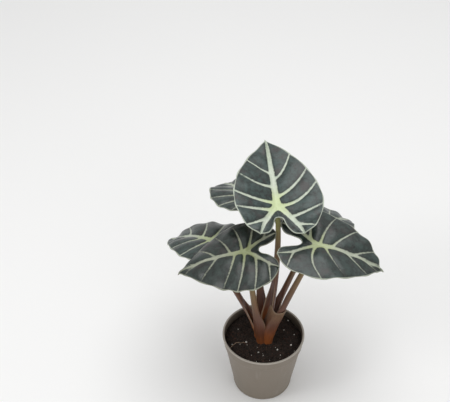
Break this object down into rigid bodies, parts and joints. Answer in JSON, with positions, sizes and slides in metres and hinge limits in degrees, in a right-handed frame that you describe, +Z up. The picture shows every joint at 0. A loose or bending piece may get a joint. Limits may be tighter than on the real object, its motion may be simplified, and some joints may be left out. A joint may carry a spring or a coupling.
{
  "type": "potted alocasia",
  "caption": "Alocasia house plant in a round nursery pot of peat: dark shield-shaped leaves with broad silver veins on upright stalks round a short stem.",
  "frame": {"origin": "centre of the underside of the pot, on the surface that the pot stands on", "axes": "+Z up along the pot's axis; -Y is the open side of the plant, which faces the viewer of the picture; +X to that viewer's right"},
  "size_m": [0.3117, 0.2479, 0.3322],
  "materials": {
    "pot": "satin moulded plastic, taupe, with a paler worn lip",
    "soil": "moist dark peat with fibres and a few white perlite grains",
    "stem": "fleshy orange to red-brown sheath bases, satin",
    "stalk": "smooth fleshy stalk, red-brown at the foot and olive to yellow-green at the top",
    "blade": "leathery dark grey-green with broad silvery veins and a pale margin, satin, maroon-brown underneath"
  },
  "bodies": {
    "root": {"pot": "pot", "soil": "soil", "stem_base": "stem", "blade_1": "blade", "blade_2": "blade", "blade_3": "blade", "blade_4": "blade", "blade_5": "blade", "blade_6": "blade", "stalk_1": "stalk", "stalk_2": "stalk", "stalk_3": "stalk", "stalk_4": "stalk", "stalk_5": "stalk", "stalk_6": "stalk"}
  },
  "joints": []
}
